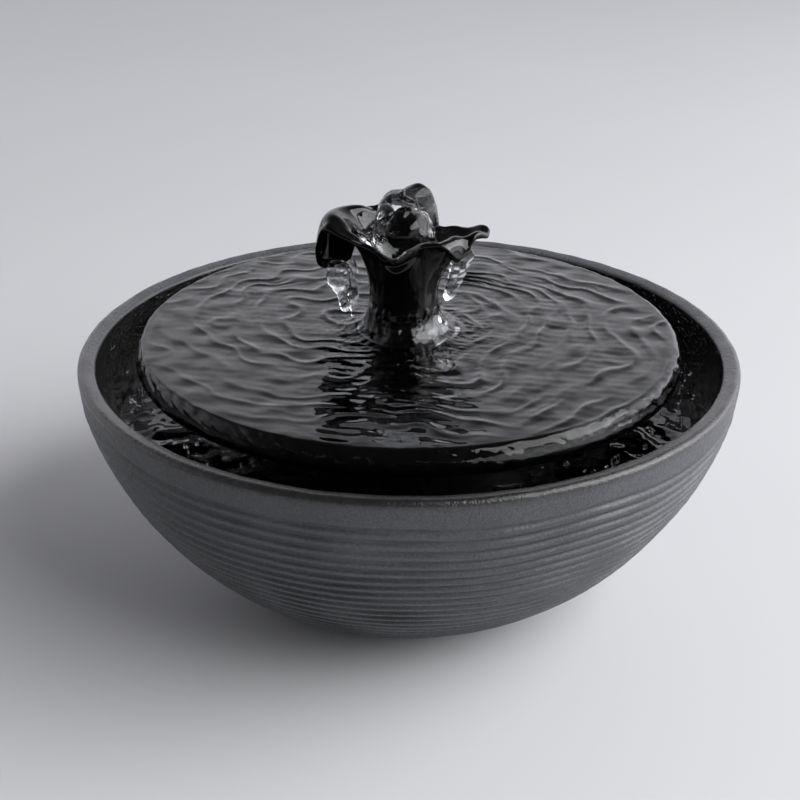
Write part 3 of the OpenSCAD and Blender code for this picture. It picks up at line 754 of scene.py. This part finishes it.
def make_dome(water):
    """Water that wells up out of the flower and fills its mouth."""
    columns, steps = 160, 46
    angle, _, over = spout_rows(steps, columns)
    # The water meets the petals a little past half way to their edges
    brim = int(steps * 0.62)
    skirt = over[brim] + np.array([0, 0.5 * MM])
    low = over[brim - 3] - np.array([0.2 * MM, 0.5 * MM])
    rings = [low, skirt]
    mound_r, mound_h, top_h = 11.2 * MM, 40 * MM, 57 * MM
    for t in np.linspace(0, 1, 7)[1:-1]:
        hollow = skirt * (1 - t) + np.array([mound_r, mound_h - 2 * MM]) * t
        hollow[:, 1] -= 1.4 * MM * np.sin(np.pi * t)
        rings.append(hollow)
    for t in np.linspace(0, 1, 40)[:-1]:
        a = np.radians(-12 + 102 * t)
        r = mound_r * 1.04 * np.cos(a) ** 0.85
        h = mound_h + (top_h - mound_h) * (np.sin(a) + 0.2) / 1.2
        rings.append(np.broadcast_to(np.array([r, h]), (columns, 2)))
    rows = np.array(rings)
    r, h = rows[..., 0], rows[..., 1]
    points = np.stack([r * np.cos(angle) + LEAN, r * np.sin(angle), SPOUT_Z + h], -1)
    grow = ease((h - 36 * MM) / (8 * MM))
    lumps = (Swell(42, 15 * MM, 20)(points) * 1.6 + Swell(43, 7 * MM)(points) * 0.35
             + Swell(44, 3.4 * MM)(points) * 0.08) * MM
    centre = np.array([LEAN, 0, SPOUT_Z + 44 * MM])
    out = points - centre
    out /= np.linalg.norm(out, axis=-1)[..., None]
    points += out * (lumps * grow)[..., None]
    # The highest lump stands to the right
    lobe = np.array([LEAN + 5 * MM, 2 * MM, SPOUT_Z + 55 * MM])
    pull = np.exp(-(np.linalg.norm(points - lobe, axis=-1) / (8 * MM)) ** 2)
    points += (np.array([0.1, 0.1, 0.9]) * 4.5 * MM) * (pull * grow)[..., None]
    verts = np.concatenate([points.reshape(-1, 3),
                            [(LEAN, 0, SPOUT_Z + NECK_H), points[-1].mean(0)]])
    piece = new_piece("water_dome", verts, capped_faces(len(rows), columns), [water], "spout")
    apply_modifier(piece, "SUBSURF", levels=1, render_levels=1)
    return piece


def make_stream(name, water, path, widths, seed):
    """Falling water: a lumpy strand along a path, with half widths along it, all in mm.

    The path's points are x, y and height from the spout's foot.
    """
    path = np.array(path, float) * MM + np.array([LEAN, 0, SPOUT_Z])
    rows, columns = 90, 40
    at = np.linspace(0, len(path) - 1, rows)
    centre = np.stack([np.interp(at, np.arange(len(path)), path[:, k]) for k in range(3)], -1)
    width = np.interp(at, np.linspace(0, len(path) - 1, len(widths)), widths) * MM
    angle = np.arange(columns) * 2 * np.pi / columns
    twist = np.linspace(0, 0.9, rows)[:, None]
    x = width[:, None] * np.cos(angle)
    y = width[:, None] * 0.4 * np.sin(angle)
    points = np.stack([centre[:, 0, None] + x * np.cos(twist) - y * np.sin(twist),
                       centre[:, 1, None] + x * np.sin(twist) + y * np.cos(twist),
                       np.broadcast_to(centre[:, 2, None], x.shape)], -1)
    lumps = MM * (0.7 * Swell(seed, 11 * MM, 20)(points)
                  + 0.35 * Swell(seed + 1, 3.6 * MM, 20)(points))
    out = points - centre[:, None]
    length = np.linalg.norm(out, axis=-1)[..., None] + 1e-9
    ends = (1 - np.abs(np.linspace(-0.99, 0.99, rows)) ** 6)[:, None] ** 0.5
    points = centre[:, None] + out * ends[..., None] + out / length * (lumps * ends)[..., None]
    verts = np.concatenate([points.reshape(-1, 3), [centre[0], centre[-1]]])
    new_piece(name, verts, capped_faces(rows, columns), [water], "spout")


def drop(centre, size, stretch, rng):
    """Points of one drop, drawn out along the vertical and slightly uneven."""
    rows, columns = 9, 12
    polar = np.linspace(0, np.pi, rows + 2)[1:-1, None]
    angle = np.arange(columns) * 2 * np.pi / columns
    uneven = 1 + 0.18 * np.sin(2 * polar + rng.uniform(0, 6)) * np.cos(angle + rng.uniform(0, 6))
    x = np.sin(polar) * np.cos(angle) * uneven
    y = np.sin(polar) * np.sin(angle) * uneven
    z = np.cos(polar) * stretch + 0 * angle
    ring = np.stack([x, y, z], -1).reshape(-1, 3)
    ends = np.array([(0, 0, stretch), (0, 0, -stretch)])
    return centre + size * np.concatenate([ring, ends]), capped_faces(rows, columns)


def make_drips(water):
    """Threads and drops that fall from the plate's edge into the bowl."""
    rng = np.random.default_rng(61)
    verts, faces, count = [], [], 0
    # Directions from the centre in which water drips
    spots = np.radians([196, 203, 212, 226, 238, 289, 296, 303, 311, 322, 335, 350, 15, 60,
                        118, 150, 172])
    for spot in spots:
        for _ in range(rng.integers(4, 9)):
            angle = spot + rng.normal() * 0.035
            r = PLATE_R + rng.uniform(0.8, 6.5) * MM
            z = rng.uniform(WATER_Z + 2 * MM, PLATE_Z - 8 * MM)
            size = rng.uniform(0.35, 1.15) * MM
            stretch = rng.choice([1.0, 1.3, 2.4, 5.0], p=[0.4, 0.3, 0.2, 0.1])
            points, sides = drop(np.array([r * np.cos(angle), r * np.sin(angle), z]), size,
                                 stretch, rng)
            verts.append(points)
            faces += [tuple(v + count for v in f) for f in sides]
            count += len(points)
    new_piece("water_drips", np.concatenate(verts), faces, [water], "plate")


# ---------------------------------------------------------------- stage
TABLE_R = 4


def make_stage():
    bpy.ops.mesh.primitive_circle_add(vertices=128, radius=TABLE_R, fill_type="NGON",
                                      location=(0, 0, PADS_LOW.z))
    table = bpy.context.object
    table.name = "table_top"
    s = Shader("table_top", Roughness=0.55, Specular_IOR_Level=0.25)
    s.colour(s.ramp(s.noise(3, 2), (0.3, (0.63, 0.635, 0.65)), (0.7, (0.65, 0.655, 0.67))))
    table.data.materials.append(s.material)


def make_window():
    """Large window to the right of the bowl and a little in front of it."""
    data = bpy.data.lights.new("window", "AREA")
    data.shape = "RECTANGLE"
    data.size = 2.1
    data.size_y = 1.6
    data.energy = 54
    place, target = Vector((1.4, -0.5, 1.2)), Vector((0, 0, 0.05))
    lamp = bpy.data.objects.new("window", data)
    lamp.location = place
    lamp.rotation_euler = (target - place).to_track_quat("-Z", "Y").to_euler()
    lamp.visible_camera = False
    bpy.context.scene.collection.objects.link(lamp)


def make_world():
    """Soft room: pale walls behind and beside the table, dark ceiling and front."""
    world = bpy.data.worlds.new("room")
    world.use_nodes = True
    room = Nodes(world.node_tree)
    rays = room.node("ShaderNodeTexCoord").outputs["Generated"]

    def facing(direction, *stops):
        """Grey over how far a ray points along a direction, from 0 to 1."""
        dot = room.node("ShaderNodeVectorMath", {"operation": "DOT_PRODUCT"})
        room.put(rays, dot.inputs[0])
        room.put(direction, dot.inputs[1])
        along = room.math("MULTIPLY_ADD", dot.outputs["Value"], 0.5, 0.5)
        return room.ramp(along, *[(at, (grey, grey, grey * 1.02)) for at, grey in stops])

    upward = facing((0, 0, 1), (0.5, 1.0), (0.7, 1.0), (0.8, 0.5), (0.88, 0.16), (0.95, 0.07))
    backward = facing((0, 1, 0), (0.1, 0.03), (0.3, 0.14), (0.42, 0.8), (0.55, 1.0))
    rightward = facing((1, 0, 0), (0.05, 0.26), (0.3, 0.29), (0.5, 0.31), (0.8, 0.42),
                       (0.95, 1.0))
    walls = room.blend("MULTIPLY", 1.0, upward, backward)
    background = room.tree.nodes["Background"]
    room.put(room.blend("MULTIPLY", 1.0, walls, rightward), background.inputs["Color"])
    background.inputs["Strength"].default_value = 3.45
    bpy.context.scene.world = world


# ---------------------------------------------------------------- the other parts
# Plain materials: name, light and dark colour, roughness, grain, bump in mm, metallic, nodes
PLAIN = [
    ("black_silicone", (0.022, 0.022, 0.023), (0.014, 0.014, 0.015), 0.55, 900, 0.03, 0,
     ["foot_pads", "spout_gasket", "shaft_bushes", "inlet_gasket", "socket_boot", "lead_gland",
      "pump_lead"]),
    ("grey_silicone", (0.4, 0.41, 0.41), (0.3, 0.31, 0.31), 0.45, 700, 0.03, 0,
     ["stand_bumpers"]),
    ("pump_casing", (0.03, 0.031, 0.034), (0.02, 0.021, 0.023), 0.46, 1400, 0.04, 0,
     ["pump_housing", "pump_rear_cover", "volute_cover", "intake_grille"]),
    ("stand_glaze", (0.03, 0.031, 0.034), (0.018, 0.019, 0.021), 0.3, 260, 0.15, 0,
     ["plate_stand"]),
    ("screw_steel", (0.62, 0.63, 0.64), (0.5, 0.51, 0.53), 0.28, 1200, 0.02, 1,
     ["cover_screws"]),
    ("board", (0.02, 0.13, 0.06), (0.012, 0.09, 0.04), 0.35, 800, 0.02, 0, ["drive_board"]),
    ("shaft_ceramic", (0.82, 0.81, 0.76), (0.76, 0.75, 0.7), 0.15, 800, 0.01, 0,
     ["rotor_shaft"]),
    ("red_seal", (0.28, 0.05, 0.03), (0.2, 0.035, 0.02), 0.4, 900, 0.02, 0, ["pump_seal"]),
    ("ferrite", (0.085, 0.085, 0.09), (0.055, 0.055, 0.06), 0.5, 900, 0.04, 0,
     ["rotor_magnet"]),
    ("impeller_plastic", (0.78, 0.78, 0.74), (0.7, 0.7, 0.66), 0.4, 900, 0.02, 0,
     ["impeller"]),
    ("dial_plastic", (0.6, 0.61, 0.62), (0.52, 0.53, 0.54), 0.32, 900, 0.02, 0,
     ["flow_dial"]),
    ("socket_plastic", (0.016, 0.016, 0.017), (0.01, 0.01, 0.011), 0.3, 1000, 0.02, 0,
     ["inlet_socket"]),
    ("contact_brass", (0.78, 0.6, 0.28), (0.66, 0.5, 0.22), 0.22, 1000, 0.01, 1,
     ["inlet_pin"]),
    ("nickel", (0.68, 0.67, 0.65), (0.58, 0.57, 0.56), 0.2, 1000, 0.01, 1, ["inlet_nut"]),
    ("lamination", (0.3, 0.31, 0.33), (0.2, 0.21, 0.22), 0.4, 700, 0.04, 1, ["pump_core"]),
    ("winding", (0.72, 0.33, 0.14), (0.55, 0.22, 0.08), 0.3, 900, 0.06, 1, ["pump_coil"]),
    ("sponge", (0.045, 0.045, 0.05), (0.02, 0.02, 0.022), 0.95, 900, 0.6, 0,
     ["filter_sponge"])]


def dress(names, shader):
    for name in names:
        slots = nodes[name].data.materials
        slots.clear()
        slots.append(shader.material)


def dress_parts():
    """Materials for the CAD nodes that are carried over."""
    for *look, names in PLAIN:
        dress(names, wear(*look))
    clear = wear("clear_silicone", (0.78, 0.81, 0.83), (0.7, 0.74, 0.76), 0.28, 500, 0.02, 0)
    clear.bsdf.inputs["Transmission Weight"].default_value = 0.75
    clear.bsdf.inputs["IOR"].default_value = 1.41
    dress(["outlet_tube", "suction_cups"], clear)


make_camera()
make_stage()
make_world()
make_window()
make_bowl()
make_plate()
make_spout()
clear_water = water_material()
make_film(clear_water)
make_pool(clear_water)
make_dome(clear_water)
make_stream("water_fall_left", clear_water,
            [(-26.5, 6, 28), (-26, 7, 21), (-24.5, 8, 14), (-23.5, 9, 5)],
            [5.2, 5.2, 4.4, 3.2, 2.6], 51)
make_stream("water_thread_left", clear_water,
            [(-21, 8, 28), (-20.5, 8.5, 20), (-20.5, 9, 12), (-20.5, 9.5, 3)],
            [2.2, 2.2, 1.8, 1.9, 2.2], 57)
make_stream("water_fall_right", clear_water,
            [(24, -3, 36.5), (22, -2, 30), (19.5, -1, 23), (17.8, 0, 14)],
            [3.6, 3.8, 4.2, 4.6, 4.6], 54)
make_drips(clear_water)
dress_parts()

bpy.context.scene.view_settings.view_transform = "Standard"
